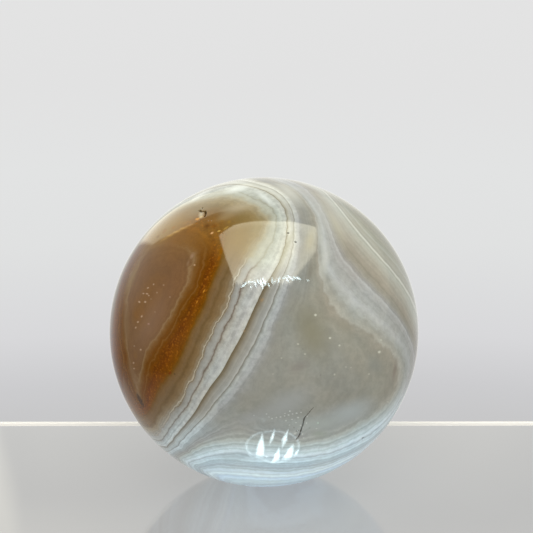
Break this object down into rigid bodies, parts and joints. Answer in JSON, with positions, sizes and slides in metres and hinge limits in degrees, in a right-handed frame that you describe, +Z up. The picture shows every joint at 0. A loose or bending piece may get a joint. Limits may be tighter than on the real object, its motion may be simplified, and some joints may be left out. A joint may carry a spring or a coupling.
{
  "type": "agate sphere",
  "caption": "Polished ball of banded agate with an open hairline crack and small pits, ground from one stone.",
  "frame": {"origin": "middle of the ball", "axes": "+Z up as the ball lies, -Y towards the wide clear window between the bands, +X to the right seen from there"},
  "size_m": [0.06, 0.06, 0.06],
  "materials": {
    "agate": "polished"
  },
  "bodies": {
    "root": {"agate_ball": "agate"}
  },
  "joints": []
}
